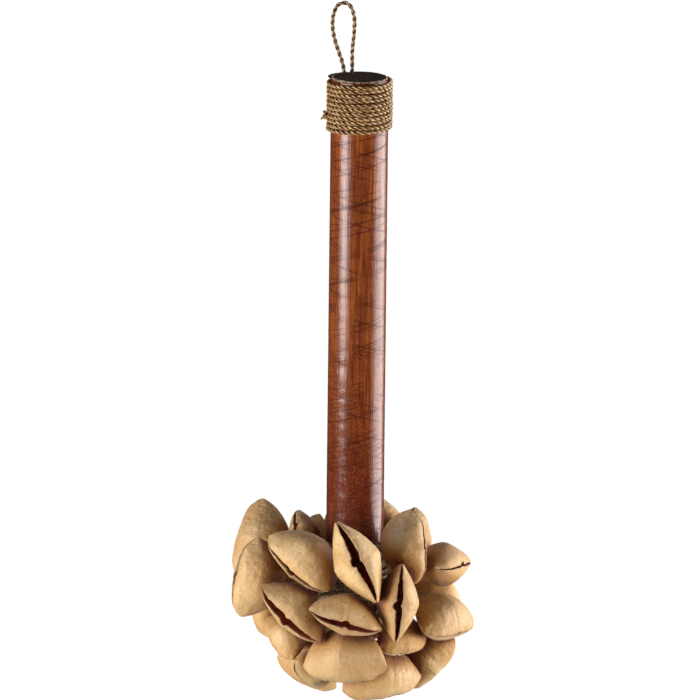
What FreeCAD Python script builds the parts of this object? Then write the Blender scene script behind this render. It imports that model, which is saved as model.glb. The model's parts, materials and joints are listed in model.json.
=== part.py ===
import FreeCAD, Part
import math
import os

# Nut-shell stick rattle, in millimetres. The stick stands along Z and its middle is the origin.
# +X is to the right and -Y is towards the front. Every shell hangs from a tie at the stick's foot.

V = FreeCAD.Vector
ORIGIN = V(0, 0, 0)
UP = V(0, 0, 1)

# --- stick ---
stick_length = 250.0
stick_radius = 13.0
top_chamfer = 1.2
foot_rounding = 3.0
stick_top = stick_length / 2
stick_foot = -stick_length / 2

# --- top whipping: one cord wound side by side, and the knot that ends it ---
whipping_cord = 2.1
whipping_turns = 12
whipping_pitch = 2.04
whipping_start = stick_top - 0.8
knot_height = 107.5
knot_angle = 184.0
knot_radius = 1.8

# --- hanging loop: its two ends lie in a groove down the back of the stick, under the whipping ---
loop_cord = 2.0
loop_y = 9.7
loop_tail = 4.5
groove_depth_y = 8.5
groove_left = -8.0
groove_right = -2.6
groove_length = 6.5
# x, and height above the stick's top, from the left end over the loop to the right end
LOOP_ROUTE = [
    (-6.8, -loop_tail),
    (-7.2, 2.5),
    (-9.8, 9.5),
    (-12.3, 17.0),
    (-12.8, 25.5),
    (-10.2, 31.8),
    (-5.0, 31.8),
    (-2.5, 25.5),
    (-2.8, 17.0),
    (-3.7, 9.5),
    (-3.4, 2.5),
    (-3.8, -loop_tail),
]

# --- binding round the stick's foot, and the lashing under it: the shells' ties start from these ---
binding_top = -88.0
binding_cord = 2.5
binding_turns = 12
binding_pitch = 3.0
lashing_radius = 9.5
lashing_height = 5.0

# --- nut shell of size 1: a hollow lens, with its mouth along one edge and a keel round its middle ---
shell_half_length = 19.0
shell_depth = 20.4
shell_half_thickness = 9.8
lip_half_thickness = 0.6
# the mouth's edge bulges in the middle and bends back towards the hinge near the two tips
mouth_arch = 2.6
corner_drop = 4.0
corner_start = 0.55
shell_wall = 1.3
lip_height = 1.6
mouth_half_width = 1.5
mouth_share = 0.86
mouth_cut = 3.0
notch_radius = 2.0
tie_hole_radius = 1.4
# stations along the half length, outside and inside, as shares of it
OUTER_STATIONS = [0.0, 0.30, 0.58, 0.80, 0.92, 0.98]
INNER_STATIONS = [0.0, 0.30, 0.58, 0.78]
# the section's outline: share of the depth from the mouth, share of the half thickness
SECTION = [(0.0, 0.30), (0.10, 0.64), (0.42, 1.0), (0.78, 0.72), (1.0, 0.0)]

# --- ties: each runs from a stopper knot inside its shell, out of the hole and to the foot ---
tie_radius = 0.8
tie_stub = 2.0
tie_knot_radius = 1.6
tie_knot_depth = 3.5
tie_bend_reach = 1.8
binding_anchor = 14.5
lashing_anchor = 7.0

# Each nut shell, in tiers from the top. Its tie hole is placed by azimuth, radius and height. The
# mouth looks along the azimuth plus the yaw, raised by the pitch. The roll turns the long axis about
# that direction, away from upright. The last two numbers are the size, and the height at which the
# tie meets the foot binding, or the lashing where that is below the stick's foot.
SHELLS = [
    # tier, azimuth, radius, height, yaw, pitch, roll, size, tie height
    ("upper", -90, 24.5, -95, 4, 16, -26, 1.12, -97),
    ("upper", -52, 19.5, -88.5, 32, 5, 0, 0.92, -90),
    ("upper", 28, 18.5, -93, -9, 5, 8, 0.82, -94),
    ("upper", 67, 19, -94.5, -15, 25, 28, 0.95, -97),
    ("upper", 98, 22, -91.5, 0, 5, 0, 0.98, -92),
    ("upper", 131, 22, -101, 0, 18, -20, 0.85, -101),
    ("upper", 151, 20.5, -94.5, 70, 44, 138, 0.74, -104),
    ("upper", 163, 32, -95.5, 3, 12, -18, 1.05, -104),
    ("upper", -134, 19, -88.5, -2, -21, -53, 1.04, -91),
    ("upper", -169, 32, -107, 6, 9, 9, 1.03, -107),
    ("upper", 2, 29, -99, -25, 0, 95, 0.95, -101),
    ("upper", 67, 37.5, -101, -13, 13, 59, 0.65, -102),
    ("upper", 114, 37, -108, 22, 13, -61, 0.85, -108),
    ("upper", 165, 20, -105, 16, -11, 46, 0.58, -107),
    ("middle", -50, 29.5, -109.5, -35, 0, 4, 1.00, -110),
    ("middle", -95, 28.5, -111, 0, -20, 106, 0.92, -113),
    ("middle", -140, 25.5, -113.5, 18, -11, -51, 1.00, -111),
    ("middle", -15, 34, -113, -21, -42, 90, 1.00, -112),
    ("middle", 24, 29, -114.5, -6, -25, 60, 1.00, -114),
    ("middle", 61, 29.5, -114, 0, -14, 60, 1.00, -112),
    ("middle", 99, 28, -118, 0, -12, 86, 0.98, -117),
    ("middle", 137, 29.5, -120, -3, -20, 44, 1.00, -120),
    ("middle", 80, 36, -129, -17, -43, -61, 0.85, -124),
    ("middle", 164, 31, -118, 0, -18, -14, 0.82, -118),
    ("middle", -169, 23.5, -128.5, 0, -27, -48, 0.70, -123),
    ("middle", -43, 25.5, -119.5, -6, -67, 94, 0.80, -116),
    ("lower", -97, 28.5, -123.5, 5, -74, 74, 1.06, -120),
    ("lower", -57, 17, -136, 0, -65, 72, 1.00, -126),
    ("lower", -8, 25, -135, -3, -43, 4, 0.86, -123),
    ("lower", 37, 23, -134, 0, -50, 94, 0.98, -123),
    ("lower", 96, 24, -137, 6, -60, 82, 1.00, -123),
    ("lower", 140, 22, -142.5, 0, -65, 20, 0.83, -123),
    ("lower", -131, 17.5, -137, -30, -51, 30, 0.78, -127),
    ("lower", -2, 3, -142, -6, -89, 86, 0.75, -127),
    ("lower", 159, 8, -132, 19, -38, -28, 0.80, -127),
]


def at_azimuth(radius, azimuth, height):
    angle = math.radians(azimuth)
    return V(radius * math.cos(angle), radius * math.sin(angle), height)


def wound_sleeve(top, cord, pitch, turns):
    """The outer shape of a cord wound side by side round the stick, as one ribbed sleeve."""
    valley = stick_radius + 0.55 * cord
    crest = stick_radius + cord
    bottom = top - turns * pitch
    edges = [Part.LineSegment(V(stick_radius, 0, top), V(valley, 0, top)).toShape()]
    for turn in range(turns):
        start = top - turn * pitch
        low = V(valley, 0, start - pitch)
        edges.append(Part.Arc(V(valley, 0, start), V(crest, 0, start - pitch / 2), low).toShape())
    edges.append(Part.LineSegment(V(valley, 0, bottom), V(stick_radius, 0, bottom)).toShape())
    edges.append(Part.LineSegment(V(stick_radius, 0, bottom), V(stick_radius, 0, top)).toShape())
    return Part.Face(Part.Wire(edges)).revolve(ORIGIN, UP, 360)


def rounded_path(points, reach):
    """Straight runs joined by tangent arcs. Each arc takes up to the given reach of its two runs."""
    edges = []
    radii = []
    here = points[0]
    for before, corner, after in zip(points, points[1:], points[2:]):
        into = (corner - before).normalize()
        out = (after - corner).normalize()
        turn = into.getAngle(out)
        shorter = min(corner.distanceToPoint(before), corner.distanceToPoint(after))
        tangent = min(reach, 0.45 * shorter)
        radius = tangent / math.tan(turn / 2)
        radii.append(radius)
        arc_start = corner - into * tangent
        arc_end = corner + out * tangent
        inward = (out - into).normalize()
        arc_middle = corner + inward * (radius / math.cos(turn / 2) - radius)
        edges.append(Part.LineSegment(here, arc_start).toShape())
        edges.append(Part.Arc(arc_start, arc_middle, arc_end).toShape())
        here = arc_end
    edges.append(Part.LineSegment(here, points[-1]).toShape())
    return Part.Wire(edges), radii


def cord_tube(points, radius, reach):
    """A round cord along a route, with the radii of its bends."""
    path, radii = rounded_path(points, reach)
    ring = Part.Circle(points[0], points[1] - points[0], radius).toShape()
    return path.makePipeShell([Part.Wire([ring])], True, True), radii, path.Length


def make_stick():
    """The turned stick, with a worn chamfer at the top, a rounded foot and the loop's groove."""
    stick = Part.makeCylinder(stick_radius, stick_length, V(0, 0, stick_foot))
    rims = {round(edge.BoundBox.ZMax, 3): edge for edge in stick.Edges if edge.Curve.TypeId == "Part::GeomCircle"}
    stick = stick.makeChamfer(top_chamfer, [rims[stick_top]])
    rims = {round(edge.BoundBox.ZMax, 3): edge for edge in stick.Edges if edge.Curve.TypeId == "Part::GeomCircle"}
    stick = stick.makeFillet(foot_rounding, [rims[stick_foot]])
    width = groove_right - groove_left
    corner = V(groove_left, groove_depth_y, stick_top - groove_length)
    groove = Part.makeBox(width, stick_radius, groove_length + 1, corner)
    return stick.cut(groove)


def make_whipping_knot():
    """The knot that ends the whipping, sitting on its left side."""
    centre = at_azimuth(stick_radius + whipping_cord + 0.4 * knot_radius, knot_angle, knot_height)
    knot = Part.makeSphere(knot_radius, centre)
    whipping_outside = Part.makeCylinder(stick_radius + whipping_cord, whipping_turns * whipping_pitch)
    whipping_outside.translate(V(0, 0, whipping_start - whipping_turns * whipping_pitch))
    return knot.cut(whipping_outside)


def make_loop():
    """The hanging loop, one cord from end to end."""
    points = [V(x, loop_y, stick_top + height) for x, height in LOOP_ROUTE]
    tube, radii, length = cord_tube(points, loop_cord / 2, 100.0)
    print("hanging_loop length", round(length, 1), "radii", [round(radius, 1) for radius in radii])
    expected = math.pi * (loop_cord / 2) ** 2 * length
    print("hanging_loop volume", round(tube.Volume, 1), "section times length", round(expected, 1))
    return tube


def make_lashing():
    """The crossed cords under the foot, as a low dome."""
    ball_radius = (lashing_radius ** 2 + lashing_height ** 2) / (2 * lashing_height)
    ball = Part.makeSphere(ball_radius, V(0, 0, stick_foot - lashing_height + ball_radius))
    below = Part.makeCylinder(ball_radius, lashing_height, V(0, 0, stick_foot - lashing_height))
    return ball.common(below)


def half_thickness(along):
    return shell_half_thickness * (1 - along ** 1.35) + lip_half_thickness


def back_height(along):
    return shell_depth * (1 - (1 - along ** 2.2) ** 0.5)


def mouth_height(along):
    corner = max(0.0, (along - corner_start) / (1 - corner_start))
    return shell_depth + mouth_arch * (1 - along * along) - corner_drop * corner ** 2.2


def shell_section(along, wall, lip):
    """The shell's closed outline across its length, a wall inside the outer surface."""
    top = mouth_height(along) - lip
    bottom = back_height(along) + wall
    thick = half_thickness(along) - wall
    right = [V(along * shell_half_length, thick * wide, top + (bottom - top) * down) for down, wide in SECTION]
    left = [V(point.x, -point.y, point.z) for point in reversed(right[:-1])]
    outline = Part.BSplineCurve()
    outline.interpolate(Points=right + left, PeriodicFlag=True)
    return Part.Wire([outline.toShape()])


def both_halves(stations, wall, lip):
    """Two lofts that meet in the keel at the shell's middle."""
    wires = [shell_section(along, wall, lip) for along in stations]
    half = Part.makeLoft(wires, True, False)
    return half.fuse(half.mirror(ORIGIN, V(1, 0, 0)))


def make_nut():
    """One nut shell of size 1. Its back is at the origin and its mouth looks along +Z."""
    outer = both_halves(OUTER_STATIONS, 0.0, 0.0)
    inner = both_halves(INNER_STATIONS, shell_wall, lip_height)
    reach = mouth_share * shell_half_length
    low = shell_depth - mouth_cut
    ends = [V(-reach, 0, low), V(reach, 0, low)]
    sides = [V(0, mouth_half_width, low), V(0, -mouth_half_width, low)]
    lens = [Part.Arc(ends[0], side, ends[1]).toShape() for side in sides]
    slit = Part.Face(Part.Wire(Part.__sortEdges__(lens))).extrude(V(0, 0, 2 * mouth_cut))
    notch = Part.makeCylinder(notch_radius, 2 * mouth_cut, V(0, mouth_half_width, low))
    return outer.cut(inner).cut(slit).cut(notch)


def shell_axes(azimuth, yaw, pitch, roll):
    """The shell's long, thickness and mouth directions."""
    facing = math.radians(azimuth + yaw)
    lift = math.radians(pitch)
    turn = math.radians(roll)
    mouth = V(math.cos(facing) * math.cos(lift), math.sin(facing) * math.cos(lift), math.sin(lift))
    raised = V(-math.cos(facing) * math.sin(lift), -math.sin(facing) * math.sin(lift), math.cos(lift))
    sideways = V(-math.sin(facing), math.cos(facing), 0)
    long_axis = raised * math.cos(turn) + sideways * math.sin(turn)
    return long_axis, mouth.cross(long_axis), mouth


def place_shell(nut, row):
    """The nut at its size and place, with its tie hole drilled through the back."""
    azimuth, radius, height, yaw, pitch, roll, size = row[1:8]
    x, y, z = shell_axes(azimuth, yaw, pitch, roll)
    hole = at_azimuth(radius, azimuth, height)
    matrix = FreeCAD.Matrix(x.x, y.x, z.x, hole.x, x.y, y.y, z.y, hole.y, x.z, y.z, z.z, hole.z, 0, 0, 0, 1)
    shell = nut.scaled(size)
    drill = Part.makeCylinder(tie_hole_radius, 2 * tie_knot_depth, V(0, 0, -tie_knot_depth))
    shell = shell.cut(drill)
    shell.Placement = FreeCAD.Placement(matrix)
    return shell


def make_tie(row):
    """One tie cord with its stopper knot, from inside the shell to the stick's foot."""
    azimuth, radius, height, yaw, pitch, roll = row[1:7]
    tie_height = row[8]
    mouth = shell_axes(azimuth, yaw, pitch, roll)[2]
    hole = at_azimuth(radius, azimuth, height)
    knot_centre = hole + mouth * tie_knot_depth
    outside = hole - mouth * tie_stub
    anchor_radius = binding_anchor if tie_height > stick_foot else lashing_anchor
    anchor = at_azimuth(anchor_radius, azimuth, tie_height)
    tube, radii, length = cord_tube([knot_centre, outside, anchor], tie_radius, tie_bend_reach)
    return tube.fuse(Part.makeSphere(tie_knot_radius, knot_centre, mouth)).removeSplitter(), radii[0], length


def export(name, shape):
    count = len(shape.Solids)
    print(name, "solids", count, "valid", shape.isValid(), "volume", round(shape.Volume, 1))
    shape.exportStep("parts/" + name + ".step")


os.makedirs("parts", exist_ok=True)
export("stick", make_stick())
export("top_whipping", wound_sleeve(whipping_start, whipping_cord, whipping_pitch, whipping_turns))
export("whipping_knot", make_whipping_knot())
export("hanging_loop", make_loop())
export("foot_binding", wound_sleeve(binding_top, binding_cord, binding_pitch, binding_turns))
export("foot_lashing", make_lashing())

nut = make_nut()
for number, row in enumerate(SHELLS, start=1):
    export("nut_shell_%02d" % number, place_shell(nut, row))

for tier in ("upper", "middle", "lower"):
    ties = [make_tie(row) for row in SHELLS if row[0] == tier]
    print(tier, "tie bends", [round(radius, 1) for _, radius, _ in ties])
    print(tier, "tie lengths", [round(length, 1) for _, _, length in ties])
    export("tie_cords_" + tier, Part.Compound([tie for tie, _, _ in ties]))
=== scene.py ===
"""Looks of the nut-shell stick rattle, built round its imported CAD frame.

Shapes are in millimetres. The camera, the materials, the stage and the lights are in metres.
"""
import json
import math

import bpy
import numpy as np
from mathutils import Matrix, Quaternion, Vector
from mathutils.bvhtree import BVHTree


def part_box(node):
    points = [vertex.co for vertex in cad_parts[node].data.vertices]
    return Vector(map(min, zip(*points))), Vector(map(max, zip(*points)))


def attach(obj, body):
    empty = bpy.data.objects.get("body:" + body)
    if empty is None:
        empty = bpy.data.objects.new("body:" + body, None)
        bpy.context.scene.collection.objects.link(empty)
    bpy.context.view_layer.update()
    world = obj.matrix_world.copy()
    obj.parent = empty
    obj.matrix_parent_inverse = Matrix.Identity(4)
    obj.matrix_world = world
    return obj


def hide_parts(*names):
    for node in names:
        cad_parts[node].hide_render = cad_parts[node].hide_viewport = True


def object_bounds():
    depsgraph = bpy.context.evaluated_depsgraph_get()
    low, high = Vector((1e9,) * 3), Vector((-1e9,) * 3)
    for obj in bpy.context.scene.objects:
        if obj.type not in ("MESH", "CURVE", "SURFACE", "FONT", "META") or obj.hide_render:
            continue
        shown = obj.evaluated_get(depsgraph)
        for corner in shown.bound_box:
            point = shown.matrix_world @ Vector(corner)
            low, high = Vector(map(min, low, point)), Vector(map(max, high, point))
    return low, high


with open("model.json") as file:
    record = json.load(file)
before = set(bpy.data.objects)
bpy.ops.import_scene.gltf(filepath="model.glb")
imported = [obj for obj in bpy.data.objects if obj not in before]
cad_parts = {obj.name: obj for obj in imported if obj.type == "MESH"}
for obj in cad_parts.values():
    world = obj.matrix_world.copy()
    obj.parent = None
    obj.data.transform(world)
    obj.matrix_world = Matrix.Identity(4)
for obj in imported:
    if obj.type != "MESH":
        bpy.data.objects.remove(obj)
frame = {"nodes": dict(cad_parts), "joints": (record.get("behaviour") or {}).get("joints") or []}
cad_low, cad_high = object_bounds()

MM = 0.001
joints = {joint["child"]: joint for joint in frame["joints"]}
stick_low, stick_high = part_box("stick")
STICK_TOP = stick_high.z / MM
STICK_FOOT = stick_low.z / MM
STICK_RADIUS = stick_high.x / MM

# ---------------------------------------------------------------- camera
VIEW_ELEVATION = 12.0
VIEW_ROLL = 0.64
VIEW_SPAN = 0.3164
VIEW_TARGET = Vector((-0.0031, 0.0, -0.0011))
LENS = 1000.0
SENSOR = 36.0


def make_camera():
    data = bpy.data.cameras.new("camera")
    data.lens = LENS
    data.sensor_width = SENSOR
    data.clip_end = 100.0
    camera = bpy.data.objects.new("camera", data)
    bpy.context.scene.collection.objects.link(camera)
    elevation = math.radians(VIEW_ELEVATION)
    back = Vector((0.0, -math.cos(elevation), math.sin(elevation)))
    camera.location = VIEW_TARGET + back * (VIEW_SPAN * LENS / SENSOR)
    camera.rotation_mode = "QUATERNION"
    level = (-back).to_track_quat("-Z", "Y")
    camera.rotation_quaternion = level @ Quaternion((0, 0, 1), math.radians(VIEW_ROLL))
    bpy.context.scene.camera = camera


make_camera()


# ---------------------------------------------------------------- mesh helpers
def new_piece(name, verts, faces, materials, uv=None, values=None, slots=None):
    """A smooth mesh object from vertices in millimetres. values are named numbers, one for each vertex."""
    mesh = bpy.data.meshes.new(name)
    if uv is not None and np.shape(uv)[1] == 3:
        values = {"proud": uv[:, 2]}
        uv = uv[:, :2]
    mesh.from_pydata((np.asarray(verts) * MM).tolist(), [], [tuple(int(i) for i in face) for face in faces])
    if uv is not None:
        layer = mesh.uv_layers.new(name="along")
        index = np.zeros(len(mesh.loops), np.int64)
        mesh.loops.foreach_get("vertex_index", index)
        layer.data.foreach_set("uv", np.asarray(uv, np.float32)[index].ravel())
    for label, numbers in (values or {}).items():
        layer = mesh.attributes.new(label, "FLOAT", "POINT")
        layer.data.foreach_set("value", np.asarray(numbers, np.float32))
    for material in materials:
        mesh.materials.append(material)
    if slots is not None:
        mesh.polygons.foreach_set("material_index", np.asarray(slots, np.int32))
    mesh.polygons.foreach_set("use_smooth", np.ones(len(mesh.polygons), bool))
    mesh.validate()
    mesh.update()
    piece = bpy.data.objects.new(name, mesh)
    bpy.context.scene.collection.objects.link(piece)
    return piece


def ring_faces(rings, sides, offset=0):
    """Quads between successive closed rings of the same number of points."""
    rows = np.arange(rings - 1)[:, None] * sides
    cols = np.arange(sides)[None, :]
    ahead = (cols + 1) % sides
    quads = np.stack([rows + cols, rows + ahead, rows + sides + ahead, rows + sides + cols], -1)
    return quads.reshape(-1, 4) + offset


def smooth_noise(rng, count, knots, closed=False):
    """A smooth random line of count values, about -1 to 1, with the given number of knots."""
    values = rng.uniform(-1, 1, knots)
    if closed:
        values = np.append(values, values[0])
    at = np.linspace(0, len(values) - 1, count)
    low = np.minimum(at.astype(int), len(values) - 2)
    part = at - low
    part = part * part * (3 - 2 * part)
    return values[low] * (1 - part) + values[low + 1] * part


def travelling_frames(points):
    """Two directions across the line at each of its points, turning as little as they can."""
    ahead = np.gradient(points, axis=0)
    ahead /= np.linalg.norm(ahead, axis=1)[:, None]
    first = np.cross(ahead[0], [0.3, 0.2, 0.9])
    first /= np.linalg.norm(first)
    across = np.zeros_like(points)
    for i, way in enumerate(ahead):
        first = first - way * np.dot(first, way)
        first /= np.linalg.norm(first)
        across[i] = first
    return ahead, across, np.cross(ahead, across)


def arc_lengths(points):
    steps = np.linalg.norm(np.diff(points, axis=0), axis=1)
    return np.concatenate([[0.0], np.cumsum(steps)])


def tube(points, radii, sides):
    """Vertices, faces and (length, turn, proud) marks of a round tube. Proud is 0 in a cord's creases."""
    _, across, up = travelling_frames(points)
    radii = np.broadcast_to(np.asarray(radii, float), (len(points),)).copy()
    angle = np.linspace(0, 2 * math.pi, sides, endpoint=False)
    ring = across[:, None, :] * np.cos(angle)[None, :, None] + up[:, None, :] * np.sin(angle)[None, :, None]
    verts = (points[:, None, :] + ring * radii[:, None, None]).reshape(-1, 3)
    faces = ring_faces(len(points), sides).tolist()
    faces.append(list(range(sides))[::-1])
    faces.append(list(range((len(points) - 1) * sides, len(points) * sides)))
    length = np.repeat(arc_lengths(points), sides)
    turn = np.tile(np.arange(sides) / sides, len(points))
    return verts, faces, np.column_stack([length, turn, np.ones(len(verts))])


def joined(parts):
    """Several (vertices, faces, marks) as one."""
    verts, faces, marks = [], [], []
    count = 0
    for part_verts, part_faces, part_marks in parts:
        verts.append(part_verts)
        faces.extend([[i + count for i in face] for face in part_faces])
        marks.append(part_marks)
        count += len(part_verts)
    return np.vstack(verts), faces, np.vstack(marks)


def twisted(points, rng, cord_radius, twist, sides=10, hand=1.0):
    """The two plies of a twisted cord along a line. twist is the length of one turn."""
    _, across, up = travelling_frames(points)
    length = arc_lengths(points)
    ply_radius = 0.54 * cord_radius
    reach = cord_radius - ply_radius
    parts = []
    for ply in (0, 1):
        wander = 0.25 * smooth_noise(rng, len(points), max(4, int(length[-1] / 7)))
        angle = hand * 2 * math.pi * length / twist + math.pi * ply + wander
        centre = points + reach * (across * np.cos(angle)[:, None] + up * np.sin(angle)[:, None])
        swell = 1 + 0.08 * smooth_noise(rng, len(points), max(4, int(length[-1] / 3)))
        ends = np.minimum(1, 0.45 + np.minimum(length, length[-1] - length) / (0.8 * cord_radius))
        verts, faces, marks = tube(centre, ply_radius * swell * ends, sides)
        from_middle = np.linalg.norm(verts - np.repeat(points, sides, axis=0), axis=1) / cord_radius
        marks[:, 2] = np.clip((from_middle - 0.45) / 0.5, 0, 1)
        marks[:, 1] += ply
        parts.append((verts, faces, marks))
    return joined(parts)


# ---------------------------------------------------------------- materials
class Nodes:
    """A short way to write a material's node tree."""

    def __init__(self, name):
        self.material = bpy.data.materials.new(name)
        self.material.use_nodes = True
        self.tree = self.material.node_tree
        self.shader = self.tree.nodes["Principled BSDF"]

    def node(self, kind, **settings):
        made = self.tree.nodes.new(kind)
        for key, value in settings.items():
            setattr(made, key, value)
        return made

    def put(self, socket, value):
        if isinstance(value, bpy.types.NodeSocket):
            self.tree.links.new(value, socket)
        elif isinstance(value, (tuple, list)) and len(value) == 3 and len(socket.default_value) == 4:
            socket.default_value = (*value, 1.0)
        else:
            socket.default_value = value

    def math(self, operation, a, b=0.0, clamp=False):
        made = self.node("ShaderNodeMath", operation=operation, use_clamp=clamp)
        self.put(made.inputs[0], a)
        self.put(made.inputs[1], b)
        return made.outputs[0]

    def mix(self, amount, a, b):
        made = self.node("ShaderNodeMix", data_type="RGBA")
        self.put(made.inputs["Factor"], amount)
        self.put(made.inputs[6], a)
        self.put(made.inputs[7], b)
        return made.outputs[2]

    def place(self):
        return self.node("ShaderNodeTexCoord").outputs["Object"]

    def uv(self):
        return self.node("ShaderNodeUVMap", uv_map="along").outputs["UV"]

    def value(self, name):
        return self.node("ShaderNodeAttribute", attribute_name=name).outputs["Fac"]

    def noise(self, vector, stretch, detail=3.0, roughness=0.55):
        """Noise over a vector that is first multiplied by the three numbers of stretch."""
        mapping = self.node("ShaderNodeMapping")
        self.put(mapping.inputs["Vector"], vector)
        mapping.inputs["Scale"].default_value = stretch
        made = self.node("ShaderNodeTexNoise")
        self.put(made.inputs["Vector"], mapping.outputs["Vector"])
        made.inputs["Scale"].default_value = 1.0
        made.inputs["Detail"].default_value = detail
        made.inputs["Roughness"].default_value = roughness
        return made.outputs["Fac"]

    def ramp(self, value, low, high, to_low=0.0, to_high=1.0):
        made = self.node("ShaderNodeMapRange", interpolation_type="SMOOTHSTEP")
        self.put(made.inputs["Value"], value)
        for key, number in (("From Min", low), ("From Max", high), ("To Min", to_low), ("To Max", to_high)):
            made.inputs[key].default_value = number
        return made.outputs["Result"]

    def bump(self, height, strength, distance, below=None):
        made = self.node("ShaderNodeBump")
        self.put(made.inputs["Height"], height)
        made.inputs["Strength"].default_value = strength
        made.inputs["Distance"].default_value = distance
        if below is not None:
            self.put(made.inputs["Normal"], below)
        return made.outputs["Normal"]

    def set(self, **sockets):
        for key, value in sockets.items():
            self.put(self.shader.inputs[key.replace("_", " ")], value)
        return self.material


def helix_marks(n, pitch, hand, start, width):
    """Thin lines that wind up the stick, as 0 to 1."""
    split = n.node("ShaderNodeSeparateXYZ")
    n.put(split.inputs[0], n.place())
    x, y, z = split.outputs
    angle = n.math("ARCTAN2", y, x)
    wobble = n.noise(n.place(), (60, 60, 30), 2.0)
    turned = n.math("MULTIPLY", angle, hand / (2 * math.pi))
    turns = n.math("ADD", n.math("MULTIPLY", z, 1 / (pitch * MM)), turned)
    turns = n.math("ADD", turns, n.math("MULTIPLY", wobble, 0.05))
    off = n.math("ABSOLUTE", n.math("SUBTRACT", n.math("FRACT", n.math("ADD", turns, start + 50)), 0.5))
    line = n.ramp(off, 0.0, width / pitch, 1.0, 0.0)
    patch = n.ramp(n.noise(n.place(), (75, 75, 55), 1.0), 0.36, 0.54)
    return n.math("MULTIPLY", line, patch)


def varnished_wood():
    n = Nodes("varnished_red_brown_wood")
    spot = n.place()
    height = n.node("ShaderNodeSeparateXYZ")
    n.put(height.inputs[0], spot)
    fibres = n.noise(spot, (1500, 1500, 60), 4.0, 0.6)
    flecks = n.ramp(n.noise(spot, (2800, 2800, 900), 2.0), 0.57, 0.72)
    pores = n.ramp(n.noise(spot, (1700, 1700, 110), 2.0), 0.62, 0.72)
    broad = n.noise(spot, (140, 140, 22), 3.0)
    colour = n.mix(n.ramp(fibres, 0.30, 0.72), (0.140, 0.024, 0.006), (0.41, 0.104, 0.020))
    colour = n.mix(n.ramp(broad, 0.35, 0.70, 0.0, 0.60), colour, (0.150, 0.028, 0.012))
    low = n.ramp(n.math("ADD", height.outputs[2], n.math("MULTIPLY", broad, 0.05)), -0.055, 0.045, 1.0, 0.0)
    colour = n.mix(n.math("MULTIPLY", low, 0.78), colour, (0.110, 0.011, 0.004))
    colour = n.mix(n.math("MULTIPLY", flecks, 0.42), colour, (0.66, 0.28, 0.08))
    colour = n.mix(n.math("MULTIPLY", pores, 0.70), colour, (0.035, 0.009, 0.008))
    lines = None
    for pitch, hand, start, width in (
        (22.0, -1, 0.10, 0.54), (23.2, -1, 0.30, 0.46), (21.2, -1, 0.62, 0.52), (24.5, -1, 0.80, 0.44),
        (22.0, 1, 0.05, 0.52), (20.6, 1, 0.55, 0.46), (23.0, 1, 0.72, 0.44),
        (22.4, -1, 0.17, 0.32), (22.8, -1, 0.24, 0.30), (21.5, 1, 0.64, 0.32), (12.6, -1, 0.45, 0.30),
    ):
        line = helix_marks(n, pitch, hand, start, width)
        lines = line if lines is None else n.math("MAXIMUM", lines, line)
    colour = n.mix(n.math("MULTIPLY", lines, 0.85), colour, (0.060, 0.010, 0.007))
    streaks = n.noise(spot, (1500, 1500, 30), 3.0, 0.6)
    grain = n.bump(streaks, 0.30, 0.00020)
    grain = n.bump(fibres, 0.14, 0.00012, grain)
    gloss = n.bump(streaks, 0.42, 0.00020)
    gloss = n.bump(flecks, 0.12, 0.00010, gloss)
    rough = n.ramp(fibres, 0.2, 0.8, 0.34, 0.50)
    n.set(Coat_Normal=gloss, Specular_IOR_Level=0.08)
    varnish = n.math("SUBTRACT", 1.0, n.math("MULTIPLY", lines, 0.55))
    return n.set(Base_Color=colour, Roughness=rough, Normal=grain, Coat_Weight=varnish, Coat_Roughness=0.11)


def rim_wear_and_highlight():
    n = Nodes("rim_wear_and_highlight")
    spot = n.place()
    wear_and_highlight = n.noise(spot, (900, 900, 900), 4.0, 0.65)
    # whitish bevel: partly wear, partly a painted highlight where the bevel catches the light
    colour = n.mix(n.ramp(wear_and_highlight, 0.38, 0.62), (0.30, 0.13, 0.075), (0.86, 0.74, 0.62))
    return n.set(Base_Color=colour, Roughness=0.38, Normal=n.bump(wear_and_highlight, 0.3, 0.0001), Coat_Weight=0.4)


def end_grain():
    n = Nodes("dark_end_grain")
    spot = n.place()
    rings = n.node("ShaderNodeTexWave", wave_type="RINGS", rings_direction="Z", bands_direction="X")
    n.put(rings.inputs["Vector"], spot)
    rings.inputs["Scale"].default_value = 130.0
    rings.inputs["Distortion"].default_value = 3.0
    rings.inputs["Detail"].default_value = 2.0
    pores = n.noise(spot, (3200, 3200, 3200), 2.0)
    colour = n.mix(rings.outputs["Fac"], (0.040, 0.015, 0.011), (0.068, 0.028, 0.020))
    colour = n.mix(n.ramp(pores, 0.52, 0.68, 0.0, 0.7), colour, (0.012, 0.006, 0.005))
    return n.set(Base_Color=colour, Roughness=0.55, Normal=n.bump(pores, 0.4, 0.0001))


def cord_material(name, dark, light, shine):
    n = Nodes(name)
    marks = n.uv()
    spot = n.place()
    proud = n.value("proud")
    hairs = n.noise(marks, (0.8, 9.0, 1.0), 3.0, 0.6)
    tone = n.noise(spot, (330, 330, 330), 2.0)
    # painted shade: near-black colour in the creases between the plies
    crease_shade = tuple(0.07 * c for c in dark)
    colour = n.mix(n.ramp(hairs, 0.34, 0.66), dark, light)
    colour = n.mix(n.ramp(tone, 0.35, 0.70, 0.0, 0.60), colour, tuple(0.75 * c for c in dark))
    colour = n.mix(n.ramp(proud, 0.15, 0.95, 1.0, 0.0), colour, crease_shade)
    grain = n.bump(hairs, 0.55, 0.00012)
    n.set(Coat_Weight=n.ramp(proud, 0.45, 0.95, 0.0, 0.60), Coat_Roughness=0.16)
    return n.set(Base_Color=colour, Roughness=shine, Normal=grain, Sheen_Weight=0.10)


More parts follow.
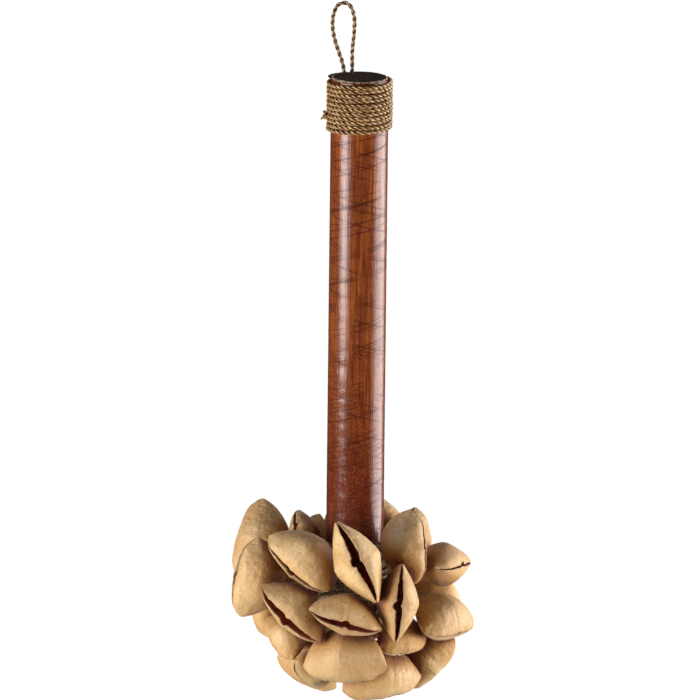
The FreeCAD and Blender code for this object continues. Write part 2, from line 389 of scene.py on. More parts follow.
def shell_outside():
    n = Nodes("nut_shell_outside")
    marks = n.uv()
    spot = n.place()
    lip = n.value("lip")
    tone = n.value("tone")
    crowd_shade = n.value("crowd_shade")
    fan = n.noise(marks, (1.5, 0.22, 1.0), 4.0, 0.62)
    leather = n.noise(spot, (900, 900, 900), 4.0, 0.62)
    cloud = n.noise(spot, (95, 95, 95), 3.0, 0.5)
    speck = n.ramp(n.noise(spot, (2200, 2200, 2200), 1.0), 0.64, 0.74)
    colour = n.mix(n.ramp(cloud, 0.32, 0.68), (0.66, 0.378, 0.122), (0.84, 0.570, 0.262))
    colour = n.mix(n.ramp(fan, 0.36, 0.70, 0.0, 0.20), colour, (0.86, 0.66, 0.40))
    colour = n.mix(n.ramp(leather, 0.30, 0.50, 0.42, 0.0), colour, (0.40, 0.19, 0.07))
    colour = n.mix(n.math("MULTIPLY", speck, 0.16), colour, (0.26, 0.11, 0.04))
    colour = n.mix(n.ramp(lip, 0.30, 0.85, 0.0, 0.50), colour, (0.52, 0.28, 0.12))
    colour = n.mix(n.ramp(tone, 0.0, 1.0, 0.0, 0.36), colour, (0.50, 0.27, 0.11))
    # painted shade: golden, then deep red-brown, where the shells hem each other in
    colour = n.mix(n.ramp(crowd_shade, 0.03, 0.30, 0.0, 0.80), colour, (0.50, 0.245, 0.050))
    colour = n.mix(n.ramp(crowd_shade, 0.24, 0.52, 0.0, 0.95), colour, (0.21, 0.055, 0.011))
    folds = n.noise(spot, (300, 300, 300), 3.0, 0.55)
    grain = n.bump(folds, 0.70, 0.00110)
    grain = n.bump(leather, 0.38, 0.00026, grain)
    grain = n.bump(fan, 0.45, 0.00036, grain)
    rough = n.ramp(leather, 0.3, 0.7, 0.52, 0.66)
    n.set(Sheen_Weight=0.16, Specular_IOR_Level=0.75)
    return n.set(Base_Color=colour, Roughness=rough, Normal=grain)


def shell_inside():
    n = Nodes("nut_shell_inside")
    spot = n.place()
    dirt = n.noise(spot, (500, 500, 500), 4.0, 0.6)
    colour = n.mix(n.ramp(dirt, 0.35, 0.70), (0.48, 0.145, 0.080), (0.80, 0.340, 0.200))
    return n.set(Base_Color=colour, Roughness=0.50, Normal=n.bump(dirt, 0.4, 0.0003))


def shell_lip():
    n = Nodes("nut_shell_lip")
    spot = n.place()
    torn = n.noise(spot, (1300, 1300, 1300), 4.0, 0.65)
    colour = n.mix(n.ramp(torn, 0.34, 0.66), (0.46, 0.25, 0.11), (0.86, 0.65, 0.40))
    return n.set(Base_Color=colour, Roughness=0.66, Normal=n.bump(torn, 0.5, 0.0003))


WOOD = varnished_wood()
RIM = rim_wear_and_highlight()
END_GRAIN = end_grain()
GOLD_CORD = cord_material("golden_waxed_cord", (0.32, 0.125, 0.032), (0.92, 0.600, 0.24), 0.21)
LOOP_CORD = cord_material("brown_twisted_cord", (0.20, 0.090, 0.032), (0.70, 0.43, 0.18), 0.30)
TIE_CORD = cord_material("tan_tie_cord", (0.20, 0.11, 0.045), (0.66, 0.47, 0.25), 0.50)
OUTSIDE = shell_outside()
INSIDE = shell_inside()
LIP = shell_lip()


# ---------------------------------------------------------------- hanging loop
LOOP_Y = 9.7
# x, and height above the stick's top
LOOP_ROUTE = [
    (-6.8, -4.5), (-7.2, 2.5), (-9.8, 9.5), (-12.3, 17.0), (-12.8, 25.5), (-10.2, 31.8),
    (-5.0, 31.8), (-2.5, 25.5), (-2.8, 17.0), (-3.7, 9.5), (-3.4, 2.5), (-3.8, -4.5),
]
LOOP_DIAMETER = 2.0


def spline_points(route):
    """The points of a smooth line through the route, in millimetres."""
    curve = bpy.data.curves.new("route", "CURVE")
    curve.dimensions = "3D"
    spline = curve.splines.new("NURBS")
    spline.points.add(len(route) - 1)
    for point, place in zip(spline.points, route):
        point.co = (*place, 1.0)
    spline.order_u = 3
    spline.use_endpoint_u = True
    spline.resolution_u = 40
    holder = bpy.data.objects.new("route", curve)
    bpy.context.scene.collection.objects.link(holder)
    bpy.context.view_layer.update()
    line = bpy.data.meshes.new_from_object(holder.evaluated_get(bpy.context.evaluated_depsgraph_get()))
    points = np.array([vertex.co for vertex in line.vertices], float)
    bpy.data.objects.remove(holder)
    bpy.data.curves.remove(curve)
    bpy.data.meshes.remove(line)
    return points / MM


def evenly(points, step):
    """The same line with points a step apart."""
    length = arc_lengths(points)
    at = np.linspace(0, length[-1], max(2, int(length[-1] / step)))
    return np.column_stack([np.interp(at, length, points[:, i]) for i in range(3)])


def make_loop():
    rng = np.random.default_rng(11)
    route = [(x * MM, LOOP_Y * MM, (STICK_TOP + height) * MM) for x, height in LOOP_ROUTE]
    line = evenly(spline_points(route), 0.28)
    verts, faces, marks = twisted(line, rng, LOOP_DIAMETER / 2, 6.0, sides=14, hand=1.0)
    loop = new_piece("hanging_loop_cord", verts, faces, [LOOP_CORD], uv=marks)
    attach(loop, "handle")
    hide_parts("hanging_loop")


make_loop()


# ---------------------------------------------------------------- stick
# the groove behind the top that holds the loop's ends
GROOVE_LEFT = -8.0
GROOVE_RIGHT = -2.6
GROOVE_Y = 8.5
GROOVE_LENGTH = 6.5
FOOT_ROUNDING = 3.0


def make_stick():
    rng = np.random.default_rng(3)
    sides = 256
    angle = np.linspace(0, 2 * math.pi, sides, endpoint=False)
    # radius, and height above the stick's top
    profile = [(0.0, 0.0), (3.0, 0.0), (6.0, 0.0), (8.2, 0.0), (10.0, 0.0), (11.2, 0.0), (11.75, -0.03)]
    profile += [(12.05, -0.22), (12.4, -0.55), (12.7, -0.86), (12.92, -1.15), (13.0, -1.6)]
    profile += [(13.0, -depth) for depth in np.arange(2.2, 6.0, 0.6)]
    profile += [(13.0, -6.35), (13.0, -6.65)]
    foot = STICK_TOP - STICK_FOOT
    straight = foot - FOOT_ROUNDING
    profile += [(13.0, -depth) for depth in np.linspace(7.5, straight, 150)]
    for t in np.linspace(0.2, 1.55, 8):
        profile.append((10.0 + FOOT_ROUNDING * math.cos(t), -straight - FOOT_ROUNDING * math.sin(t)))
    profile += [(6.0, -foot), (2.0, -foot), (0.0, -foot)]
    rings = []
    chips = 0.16 * smooth_noise(rng, sides, 46, True) + 0.10 * smooth_noise(rng, sides, 120, True)
    for radius, depth in profile[1:-1]:
        near_rim = math.exp(-((depth + 0.6) / 0.5) ** 2) * (radius > 11.5)
        out = radius + 0.035 * smooth_noise(rng, sides, 9, True) * (radius > 12.9)
        out = out + chips * near_rim
        x, y = out * np.cos(angle), out * np.sin(angle)
        down = depth + 0.5 * chips * near_rim
        if depth > -GROOVE_LENGTH:
            cut = (x > GROOVE_LEFT) & (x < GROOVE_RIGHT) & (y > GROOVE_Y)
            y = np.where(cut, GROOVE_Y, y)
        rings.append(np.column_stack([x, y, np.broadcast_to(STICK_TOP + down, x.shape)]))
    verts = np.vstack(rings + [[[0, 0, STICK_TOP]], [[0, 0, STICK_FOOT]]])
    count = len(rings)
    body = ring_faces(count, sides)[:, ::-1].tolist()
    top, bottom = count * sides, count * sides + 1
    last = (count - 1) * sides
    caps = [(top, i, (i + 1) % sides) for i in range(sides)]
    caps += [(bottom, last + (i + 1) % sides, last + i) for i in range(sides)]
    slots = []
    for face in body:
        ring = min(face) // sides
        radius, depth = profile[1 + ring]
        slots.append(2 if radius < 12.0 and depth > -1 else 1 if depth > -0.8 else 0)
    slots += [2] * sides + [0] * sides
    stick = new_piece("varnished_stick", verts, body + caps, [WOOD, RIM, END_GRAIN], slots=slots)
    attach(stick, "handle")
    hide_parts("stick")


make_stick()


# ---------------------------------------------------------------- windings
def winding_line(rng, top, bottom, turns, reach, wander, start_angle):
    """A helix down the stick whose turns wander a little."""
    count = int(turns * 150)
    turn = np.linspace(0, turns, count)
    angle = start_angle - 2 * math.pi * turn
    height = top + (bottom - top) * turn / turns
    height = height + wander * smooth_noise(rng, count, int(turns * 5))
    out = reach + 0.10 * smooth_noise(rng, count, int(turns * 6))
    return np.column_stack([out * np.cos(angle), out * np.sin(angle), height])


def hairs_on(rng, points, count, longest):
    """Loose fibres that stand out from a line."""
    parts = []
    for _ in range(count):
        at = points[rng.integers(5, len(points) - 5)]
        away = np.array([at[0], at[1], 0.0])
        away /= max(np.linalg.norm(away), 1e-6)
        way = away * rng.uniform(0.3, 1.0) + rng.normal(0, 0.6, 3)
        way /= np.linalg.norm(way)
        bend = rng.normal(0, 0.5, 3)
        size = rng.uniform(0.4, 1.0) * longest
        reach = np.linspace(0, size, 6)[:, None]
        line = at + away * 0.7 + way * reach + bend * (reach / longest) ** 2
        parts.append(tube(line, np.linspace(0.07, 0.025, 6), 4))
    return parts


def make_whipping():
    rng = np.random.default_rng(21)
    low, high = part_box("top_whipping")
    top, bottom = high.z / MM, low.z / MM
    outer = high.x / MM
    cord = (outer - STICK_RADIUS) / 2
    line = winding_line(rng, top - 0.40 * cord, bottom + cord, 11.2, STICK_RADIUS + cord, 0.24, 2.9)
    parts = [twisted(line, rng, cord * 0.99, 5.6, sides=10, hand=1.0)]
    parts += hairs_on(rng, line, 80, 1.3)
    verts, faces, marks = joined(parts)
    whipping = new_piece("whipping_cord", verts, faces, [GOLD_CORD], uv=marks)
    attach(whipping, "handle")
    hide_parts("top_whipping")


def knot_line(centre, size, out, count=90):
    """An overhand knot, a bit flattened, with out its outward direction."""
    t = np.linspace(0, 2 * math.pi, count, endpoint=False)
    across = np.sin(t) + 2 * np.sin(2 * t)
    upward = np.cos(t) - 2 * np.cos(2 * t)
    local = np.column_stack([across, upward, -np.sin(3 * t)]) / 3
    side = np.cross(out, [0, 0, 1.0])
    side /= np.linalg.norm(side)
    up = np.cross(side, out)
    return centre + size * (local[:, :1] * side + local[:, 1:2] * up + 0.7 * local[:, 2:] * out)


def make_whipping_knot():
    rng = np.random.default_rng(5)
    low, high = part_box("whipping_knot")
    centre = np.array((low + high) / 2) / MM
    out = np.array([centre[0], centre[1], 0.0])
    out /= np.linalg.norm(out)
    centre = centre - out * 0.7
    size = (high.z - low.z) / MM / 2
    parts = [twisted(knot_line(centre, size * 0.95, out), rng, 0.62, 2.0, sides=8)]
    tail = centre + np.outer(np.linspace(0, 3.0, 16), out * 0.45 + np.array([0, 0.1, -0.8]))
    tail = tail + out * 0.5
    parts.append(twisted(tail, rng, 0.5, 1.8, sides=8))
    verts, faces, marks = joined(parts)
    knot = new_piece("whipping_end_knot", verts, faces, [GOLD_CORD], uv=marks)
    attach(knot, "handle")
    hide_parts("whipping_knot")


def make_foot_binding():
    rng = np.random.default_rng(31)
    low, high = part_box("foot_binding")
    top, bottom = high.z / MM, low.z / MM
    cord = (high.x / MM - STICK_RADIUS) / 2
    line = winding_line(rng, top - cord, bottom + cord, 13.2, STICK_RADIUS + cord * 0.8, 0.5, 0.4)
    parts = [twisted(line, rng, cord * 0.92, 4.2, sides=8, hand=-1.0)]
    for start, finish, turns, begin in ((top - 2, bottom + 6, 5.3, 1.0), (bottom + 3, top - 4, 4.4, 3.1)):
        over = winding_line(rng, start, finish, turns, STICK_RADIUS + cord * 1.9, 1.1, begin)
        parts.append(twisted(over, rng, cord * 0.72, 3.6, sides=8, hand=-1.0))
    verts, faces, marks = joined(parts)
    binding = new_piece("foot_binding_cord", verts, faces, [TIE_CORD], uv=marks)
    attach(binding, "handle")
    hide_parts("foot_binding")


def make_foot_lashing():
    rng = np.random.default_rng(41)
    low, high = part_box("foot_lashing")
    reach = (high.x - low.x) / MM / 2
    top, depth = high.z / MM, (high.z - low.z) / MM
    cord = 0.95
    parts = []
    for number in range(15):
        way = math.radians(24 * number * 1.7 + rng.uniform(-8, 8))
        aside = rng.uniform(-0.55, 0.55) * reach
        half = math.sqrt(reach ** 2 - aside ** 2)
        t = np.linspace(-1, 1, 60)
        x, y = t * half, np.full(60, aside)
        dome = (depth - cord) * (1 - (x ** 2 + y ** 2) / reach ** 2)
        z = top - cord * 0.3 - dome - rng.uniform(-0.2, 0.4)
        turned_x = x * math.cos(way) - y * math.sin(way)
        turned_y = x * math.sin(way) + y * math.cos(way)
        line = np.column_stack([turned_x, turned_y, z])
        parts.append(twisted(line, rng, cord, 3.4, sides=8))
    verts, faces, marks = joined(parts)
    lashing = new_piece("foot_lashing_cord", verts, faces, [TIE_CORD], uv=marks)
    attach(lashing, "handle")
    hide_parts("foot_lashing")


make_whipping()
make_whipping_knot()
make_foot_binding()
make_foot_lashing()

# ---------------------------------------------------------------- nut shells
# the CAD shell of size 1
HALF_LENGTH = 19.0
DEPTH = 20.4
END_STATION = 0.98
HOLE_BACK = 0.65
WALL = 1.3
NOTCH_RADIUS = 2.0
MOUTH_ARCH = 2.6
CORNER_START = 0.55
CORNER_DROP = 4.0
# share of the depth from the mouth, share of the half thickness
SECTION = [(0.10, 0.64), (0.42, 1.0), (0.78, 0.72), (1.0, 0.0)]

# the visual shell of size 1
STATIONS = 125
TIP_STATION = 0.984
HALF_THICKNESS = 9.6
TIP_HALF_THICKNESS = 0.6
LIP_HEIGHT = 1.15
OUTER_STEPS = 9
INNER_STEPS = 6
# across the lip's edge: share of the way in, and how far it bulges into the slit
LIP_STEPS = ((0.12, 0.10), (0.30, 0.16), (0.55, 0.14), (0.80, 0.06))

# the half openings of the shells whose mouths face the front
OPEN_MOUTHS = {1: 1.7, 9: 1.2, 15: 1.5, 16: 1.7, 17: 1.8, 18: 0.7, 11: 0.6, 25: 1.4, 33: 1.4}
# pairs that would rub where one of them swings out furthest, so they are made a little smaller
CLOSE_NEIGHBOURS = (1, 4, 6, 7, 8, 12, 13, 15)
CLOSE_SIZE = 0.972


def cad_points(node):
    """The vertices of a node's CAD mesh, in millimetres."""
    return np.array([vertex.co for vertex in frame["nodes"][node].data.vertices], float) / MM


def shell_pose(node):
    """The shell's hole, size and axes (long, thickness, mouth), read from its CAD mesh and its hinge."""
    points = cad_points(node)
    joint = joints[node]
    hinge = np.array(joint["pos_m"], float) / MM
    axis = np.array(joint["axis"], float)
    middle = points.mean(0)
    first = points[np.argmax(np.linalg.norm(points - middle, axis=1))]
    second = points[np.argmax(np.linalg.norm(points - first, axis=1))]
    for _ in range(3):
        long_axis = (second - first) / np.linalg.norm(second - first)
        along = points @ long_axis
        second = points[along > along.max() - 0.25].mean(0)
        first = points[along < along.min() + 0.25].mean(0)
    mouth = (first + second) / 2 - hinge
    mouth -= axis * np.dot(mouth, axis)
    mouth /= np.linalg.norm(mouth)
    long_axis = (second - first) - mouth * np.dot(second - first, mouth)
    span = np.linalg.norm(long_axis)
    long_axis /= span
    size = span / (2 * END_STATION * HALF_LENGTH)
    hole = hinge - mouth * HOLE_BACK
    thick = np.cross(mouth, long_axis)
    # the side with more points this far from the slit's middle is the one that the notch is cut into
    local = (points - hole) @ np.column_stack([long_axis, thick, mouth]) / size
    edge = (np.abs(local[:, 0]) < 2.1) & (local[:, 2] > 18.5)
    right = np.sum(edge & (local[:, 1] > 2.1) & (local[:, 1] < 3.7))
    left = np.sum(edge & (local[:, 1] < -2.1) & (local[:, 1] > -3.7))
    if left > right:
        long_axis, thick = -long_axis, -thick
    return hole, size, np.column_stack([long_axis, thick, mouth])


def catmull(points, per_run):
    """A smooth line through points. The first and last are only guides. points is (count, stations, 2)."""
    out = []
    for a, b, c, d in zip(points, points[1:], points[2:], points[3:]):
        for t in np.arange(per_run) / per_run:
            out.append(
                0.5 * (2 * b + (c - a) * t + (2 * a - 5 * b + 4 * c - d) * t ** 2
                       + (3 * b - a - 3 * c + d) * t ** 3)
            )
    out.append(points[-2])
    return np.array(out)


def side_line(thick, top, bottom, lip_y, lip_rise, per_run):
    """Half a section for each station, from the lip round to the back: (points, stations, 2)."""
    guide = [np.column_stack([lip_y, top + lip_rise])]
    guide += [np.column_stack([thick * wide, top + (bottom - top) * down]) for down, wide in SECTION]
    before = 2 * guide[0] - guide[1]
    before[:, 1] = guide[0][:, 1]
    after = guide[-2] * np.array([-1.0, 1.0])
    return catmull([before] + guide + [after], per_run)


def whole_section(right, left):
    """One line from the right lip round the back to the left lip. Both halves come as right ones."""
    return np.concatenate([right, (left * np.array([-1.0, 1.0]))[::-1][1:]])


def slit_edges(rng, along, opening):
    """The slit's two lips: a lens with torn edges, a half-round notch and a tooth across from it."""
    share = np.abs(along)
    at_mm = along * HALF_LENGTH
    centre = 0.35 * smooth_noise(rng, STATIONS, 5) + 0.10 * smooth_noise(rng, STATIONS, 26)
    gap = opening * (1 - share ** 2.3) ** 0.9 + 0.10
    room = np.clip(1 - share ** 6, 0, 1)
    notch_at = rng.uniform(-0.8, 0.8)
    notch = np.sqrt(np.clip(NOTCH_RADIUS ** 2 - (at_mm - notch_at) ** 2, 0, None))
    tooth = 1.1 * np.clip(1 - np.abs(at_mm - notch_at) / 1.6, 0, 1)

    def torn():
        return 0.16 * smooth_noise(rng, STATIONS, 44) + 0.12 * smooth_noise(rng, STATIONS, 21)

    right = centre + gap + room * torn() + 0.75 * notch
    left = centre - gap + room * torn() + 0.8 * tooth
    return np.minimum(left, right - 0.12), right, gap


def lip_band(outside, inside, push, gap):
    """The rounded edge of a lip, in steps from outside to inside."""
    steps = []
    for share, out in LIP_STEPS:
        step = outside * (1 - share) + inside * share
        step[:, 0] -= push * out * np.clip(gap, 0, 1)
        steps.append(step)
    return steps


def shell_rings(rng, along, opening):
    """Each station's closed outline, (points, stations, 2), whose first points are the outside."""
    share = np.abs(along)
    ridge = 0.88 * share ** 1.6 + 0.12 * share
    thick = HALF_THICKNESS * (1 - ridge) + TIP_HALF_THICKNESS
    back = DEPTH * (1 - (1 - share ** 2.2) ** 0.5)
    corner = np.clip((share - CORNER_START) / (1 - CORNER_START), 0, None)
    mouth = DEPTH + MOUTH_ARCH * (1 - along ** 2) - CORNER_DROP * corner ** 2.2
    left_lip, right_lip, gap = slit_edges(rng, along, opening)
    rise = 0.35 + 0.22 * smooth_noise(rng, STATIONS, 18)
    bulges = rng.uniform(0.94, 1.04, 2)
    inner_thick = np.maximum(thick - WALL, 0.12 * thick)
    inner_mouth = mouth - LIP_HEIGHT
    inner_back = np.minimum(back + WALL, inner_mouth - 0.08)
    furthest = inner_thick * SECTION[0][1]
    outer_lines, inner_lines = [], []
    for lip, bulge in ((right_lip, bulges[0]), (-left_lip, bulges[1])):
        outer_lines.append(side_line(thick * bulge, mouth, back, lip, rise, OUTER_STEPS))
        inside_lip = np.minimum(lip + 0.12, furthest)
        inner_lines.append(side_line(inner_thick, inner_mouth, inner_back, inside_lip, 0.0, INNER_STEPS))
    outer = whole_section(*outer_lines)
    inner = whole_section(*inner_lines)
    band_left = lip_band(outer[-1], inner[-1], -1, gap)
    band_right = lip_band(inner[0], outer[0], 1, gap)
    return np.concatenate([outer, band_left, inner[::-1], band_right]), outer


def wrinkle(rng, verts, at_mm, section, fade):
    """Moves the outside's points: soft lumps, creases that fan out from the slit, a seam and a crown."""
    lumps = np.zeros(section.shape)
    for _ in range(10):
        wave = rng.normal(0, 0.16, 3)
        lumps += np.sin(verts @ wave + rng.uniform(0, 6.28)) * 0.09
    creases = np.zeros(section.shape)
    for _ in range(14):
        spread = rng.uniform(1.2, 2.6)
        lean = rng.normal(0, 0.12)
        creases += np.sin(at_mm[:, None] * spread + lean * section + rng.uniform(0, 6.28)) * 0.012
    seam = -0.22 * np.exp(-((at_mm[:, None] - 0.3 * np.sin(section * 0.3)) / 0.55) ** 2)
    crown = 0.30 * np.exp(-((at_mm[:, None]) / 2.2) ** 2)
    inside_middle = np.array([0, 0, 11.0])
    away = verts - inside_middle
    away[:, :, 0] *= 0.4
    away /= np.linalg.norm(away, axis=2)[:, :, None]
    verts += away * ((lumps + creases + crown + seam) * fade)[:, :, None]
    verts[:, :, 1] += 0.5 * smooth_noise(rng, STATIONS, 3)[:, None]


def shell_slots(faces, sides, rows):
    """The material of each face: 0 outside, 1 inside, 2 on a lip's edge."""
    slots = []
    for quad in faces:
        first, second = quad[0] % sides, quad[1] % sides
        side = min(first, second) if abs(first - second) == 1 else sides - 1
        if side < rows - 1:
            slots.append(0)
        elif side < rows - 1 + len(LIP_STEPS) or side >= sides - len(LIP_STEPS):
            slots.append(2)
        else:
            slots.append(1)
    return slots


def make_shell(number, node):
    rng = np.random.default_rng(100 + number)
    hole, size, axes = shell_pose(node)
    if number in CLOSE_NEIGHBOURS:
        size *= CLOSE_SIZE
    opening = OPEN_MOUTHS.get(number, 0.9 + 0.7 * np.random.default_rng(500 + number).uniform())
    along = np.sin(np.linspace(-math.pi / 2, math.pi / 2, STATIONS)) * TIP_STATION
    at_mm = along * HALF_LENGTH
    ring, outer = shell_rings(rng, along, opening)
    sides, rows = len(ring), len(outer)
    verts = np.zeros((STATIONS, sides, 3))
    verts[:, :, 0] = at_mm[:, None]
    verts[:, :, 1:] = ring.transpose(1, 0, 2)

    # section is the way round the outside from the right lip
    section = np.zeros((STATIONS, sides))
    section[:, 1:rows] = np.cumsum(np.linalg.norm(np.diff(outer, axis=0), axis=2), axis=0).T
    on_outside = np.zeros(sides)
    on_outside[:rows] = np.sin(np.linspace(0, math.pi, rows)) ** 0.5
    fade = (1 - np.abs(along) ** 8)[:, None] * on_outside[None, :]
    wrinkle(rng, verts, at_mm, section, fade)
    world = (verts.reshape(-1, 3) * size) @ axes.T + hole

    quads = ring_faces(STATIONS, sides)
    caps = [list(range(sides))[::-1], list(range((STATIONS - 1) * sides, STATIONS * sides))]
    slots = shell_slots(quads, sides, rows) + [0, 0]
    lip_near = np.ones((STATIONS, sides))
    reach = np.minimum(section[:, :rows], section[:, rows - 1:rows] - section[:, :rows])
    lip_near[:, :rows] = np.exp(-reach / 1.1)
    marks = np.stack([np.broadcast_to(at_mm[:, None], section.shape), section], -1).reshape(-1, 2)
    tone = np.full(STATIONS * sides, rng.uniform(0, 1))
    piece = new_piece(
        "shell_%02d" % number, world, quads.tolist() + caps, [OUTSIDE, INSIDE, LIP],
        uv=marks + number * 37.0, values={"lip": lip_near.ravel(), "tone": tone}, slots=slots,
    )
    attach(piece, node)
    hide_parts(node)
    return (hole, size, axes), (piece, world.reshape(STATIONS, sides, 3), rows)


shell_nodes = sorted(name for name in frame["nodes"] if name.startswith("nut_shell_"))
poses = []
skins = []
for number, node in enumerate(shell_nodes, start=1):
    pose, skin = make_shell(number, node)
    poses.append(pose)
    skins.append(skin)


# ---------------------------------------------------------------- painted shade where the shells hem each other in
GRID_LONG = 24
GRID_ROUND = 17
# a cylinder that stands for the stick's foot and its binding
CORE_SIDES = 24
CORE_RADIUS = 14.5
CORE_HEIGHT = 70.0
CROWD_REACH = 24.0
CROWD_RAYS = 22


def coarse_surface():
    """A tree of coarse shells and the stick's foot to cast rays at, and each shell's grid of points."""
    grids = []
    verts = []
    faces = []
    for _, skin, rows in skins:
        lengthwise = np.linspace(0, len(skin) - 1, GRID_LONG).round().astype(int)
        around = np.linspace(0, rows - 1, GRID_ROUND).round().astype(int)
        grid = skin[np.ix_(lengthwise, around)]
        base = len(verts)
        verts.extend(grid.reshape(-1, 3).tolist())
        for i in range(GRID_LONG - 1):
            for j in range(GRID_ROUND - 1):
                first = base + i * GRID_ROUND + j
                faces.append((first, first + 1, first + GRID_ROUND + 1, first + GRID_ROUND))
        grids.append((lengthwise, around, grid))
    turns = np.linspace(0, 2 * math.pi, CORE_SIDES, endpoint=False)
    faces.extend(ring_faces(2, CORE_SIDES, len(verts)).tolist())
    for height in (STICK_FOOT + CORE_HEIGHT, STICK_FOOT):
        verts.extend((CORE_RADIUS * math.cos(t), CORE_RADIUS * math.sin(t), height) for t in turns)
    return BVHTree.FromPolygons(verts, faces), grids


def hemmed_in(tree, grid, ways):
    """How closely each point of a shell's grid is hemmed in, 0 to 1."""
    normals = np.cross(np.gradient(grid, axis=0), np.gradient(grid, axis=1))
    normals /= np.linalg.norm(normals, axis=2)[:, :, None] + 1e-9
    outward = np.sign(np.sum(normals * (grid - grid.mean((0, 1))), axis=2))
    normals *= outward[:, :, None]
    hemmed = np.zeros((GRID_LONG, GRID_ROUND))
    for i, j in np.ndindex(GRID_LONG, GRID_ROUND):
        start = Vector(grid[i, j] + 0.5 * normals[i, j])
        for way in ways:
            aim = way + 1.05 * normals[i, j]
            hit = tree.ray_cast(start, Vector(aim).normalized(), CROWD_REACH)
            if hit[0] is not None:
                hemmed[i, j] += (1 - hit[3] / CROWD_REACH) / len(ways)
    padded = np.pad(hemmed, 1, mode="edge")
    shifts = [(a, b) for a in (0, 1, 2) for b in (0, 1, 2)]
    return sum(padded[a:GRID_LONG + a, b:GRID_ROUND + b] for a, b in shifts) / len(shifts)


def paint_shade_where_crowded():
    """Marks each spot of a shell that is hemmed in, for the painted red-brown shade between the shells."""
    tree, grids = coarse_surface()
    ways = np.random.default_rng(77).normal(size=(CROWD_RAYS, 3))
    ways /= np.linalg.norm(ways, axis=1)[:, None]
    for (piece, skin, rows), (lengthwise, around, grid) in zip(skins, grids):
        hemmed = hemmed_in(tree, grid, ways)
        full = np.array([np.interp(np.arange(rows), around, line) for line in hemmed])
        full = np.array([np.interp(np.arange(len(skin)), lengthwise, line) for line in full.T]).T
        marks = np.zeros(skin.shape[:2])
        marks[:, :rows] = full
        layer = piece.data.attributes.new("crowd_shade", "FLOAT", "POINT")
        layer.data.foreach_set("value", marks.ravel().astype(np.float32))


paint_shade_where_crowded()


# ---------------------------------------------------------------- ties
KNOT_DEPTH = 3.5
TIE_STUB = 2.0
TAIL_LENGTH = 10.5


def tie_parts(rng, points, hole, size, axes):
    """One tie: from its knot out of the hole to the binding, the knot, and a tail that runs on inside."""
    mouth = axes[:, 2]
    knot = hole + mouth * KNOT_DEPTH
    start = hole - mouth * TIE_STUB
    way = math.atan2(hole[1], hole[0])
    near = points[np.abs(np.arctan2(points[:, 1], points[:, 0]) - way) < 0.2]
    from_stick = np.hypot(near[:, 0], near[:, 1])
    inmost = near[from_stick < from_stick.min() + 0.5].mean(0)
    route = [tuple(p * MM) for p in (knot, hole, start, (start + inmost) / 2, inmost)]
    line = evenly(spline_points(route), 0.22)
    tie = twisted(line, rng, 0.85, 2.8, sides=8)
    turned = knot_line(knot, 1.1, mouth + np.array([0.01, 0, 0]))
    stopper = twisted(turned, rng, 0.6, 2.0, sides=8)
    length = TAIL_LENGTH * size
    reach = np.linspace(0, length, 26)[:, None]
    aside = axes[:, 0] * rng.uniform(-0.35, 0.35) + axes[:, 1] * rng.uniform(-0.12, 0.12)
    tail = knot + mouth * reach + aside * reach * (reach / length)
    return [tie, stopper, twisted(tail, rng, 0.75, 2.4, sides=8)]


def make_ties(tier):
    """A tier's ties follow the middle lines of their CAD solids."""
    node = "tie_cords_" + tier
    points = cad_points(node)
    rng = np.random.default_rng(60 + len(tier))
    parts = []
    for hole, size, axes in poses:
        knot = hole + axes[:, 2] * KNOT_DEPTH
        if np.min(np.linalg.norm(points - knot, axis=1)) <= 2.2:
            parts += tie_parts(rng, points, hole, size, axes)
    verts, faces, marks = joined(parts)
    ties = new_piece("ties_" + tier, verts, faces, [TIE_CORD], uv=marks)
    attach(ties, "handle")
    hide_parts(node)


for tier in ("upper", "middle", "lower"):
    make_ties(tier)


# ---------------------------------------------------------------- stage and light
def make_stage():
    floor_drop = 0.45
    level = cad_low.z - floor_drop
    size = 9.0
    mesh = bpy.data.meshes.new("floor")
    corners = [(-size, -size, level), (size, -size, level), (size, size, level), (-size, size, level)]
    mesh.from_pydata(corners, [], [(0, 1, 2, 3)])
    n = Nodes("pale_floor")
    paper = n.noise(n.place(), (40, 40, 40), 3.0)
    colour = n.mix(paper, (0.90, 0.90, 0.90), (0.94, 0.94, 0.94))
    n.set(Base_Color=colour, Roughness=0.9, Emission_Color=(1.0, 1.0, 1.0), Emission_Strength=0.97)
    mesh.materials.append(n.material)
    floor = bpy.data.objects.new("floor", mesh)
    bpy.context.scene.collection.objects.link(floor)
    floor.visible_glossy = False
    floor.visible_diffuse = False


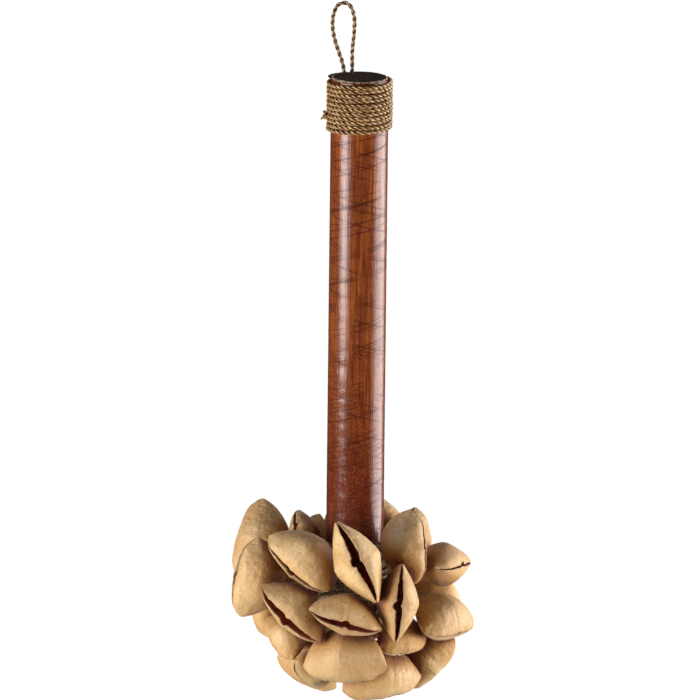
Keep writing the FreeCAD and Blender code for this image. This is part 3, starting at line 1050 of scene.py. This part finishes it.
def softbox(name, azimuth, distance, middle, width, height, power, colour=(1, 1, 1)):
    """An upright area light. Azimuth 0 is in front of the object and 90 to its right."""
    data = bpy.data.lights.new(name, "AREA")
    data.shape = "RECTANGLE"
    data.size = width
    data.size_y = height
    data.energy = power
    data.color = colour
    light = bpy.data.objects.new(name, data)
    way = math.radians(azimuth)
    light.location = (distance * math.sin(way), -distance * math.cos(way), middle)
    aim = Vector((0, 0, middle * 0.25)) - light.location
    aim.z = min(0.0, aim.z)
    light.rotation_mode = "QUATERNION"
    light.rotation_quaternion = aim.to_track_quat("-Z", "Y")
    bpy.context.scene.collection.objects.link(light)
    return light


def make_lights():
    for name, azimuth, middle, width, height, soft, shine in (
        ("key", -58, 0.22, 0.85, 1.00, 4.5, 17.0), ("side", 98, 0.15, 1.3, 1.2, 6.0, 19.5),
    ):
        softbox(name, azimuth, 1.25, middle, width, height, soft).visible_glossy = False
        # a little nearer, so that the two sheets of light do not lie in one plane
        softbox(name + "_shine", azimuth, 1.22, middle, width, height, shine).visible_diffuse = False
    for name, azimuth, power in (("low_left", -58, 12.5), ("low_right", 82, 15.5)):
        low = softbox(name, azimuth, 1.15, -0.26, 0.50, 0.55, power, (1.0, 0.97, 0.93))
        low.rotation_quaternion = (Vector((0, 0, -0.06)) - low.location).to_track_quat("-Z", "Y")
        low.visible_glossy = False
    # strips that show only as reflections: their lower edges end the two long highlights
    left = softbox("left_strip", -60, 1.25, -0.15, 0.42, 0.26, 2.0, (1.0, 0.93, 0.89))
    right = softbox("right_strip", 109, 1.25, -0.25, 1.20, 0.36, 2.9, (1.0, 0.93, 0.91))
    left.visible_diffuse = False
    right.visible_diffuse = False
    bounce = softbox("bounce", -20, 0.45, -0.75, 1.1, 1.1, 2.4)
    bounce.rotation_quaternion = Vector((0.1, 0.35, 0.75)).to_track_quat("-Z", "Y")
    bounce.visible_glossy = False
    # fills the far side, which the photograph's two side lights leave dark
    softbox("back", 180, 1.25, 0.02, 1.3, 1.1, 13.0).visible_glossy = False
    world = bpy.data.worlds.new("studio")
    world.use_nodes = True
    world.node_tree.nodes["Background"].inputs[0].default_value = (1.0, 0.88, 0.74, 1.0)
    world.node_tree.nodes["Background"].inputs[1].default_value = 0.05
    bpy.context.scene.world = world


make_stage()
make_lights()
bpy.context.scene.view_settings.view_transform = "Standard"
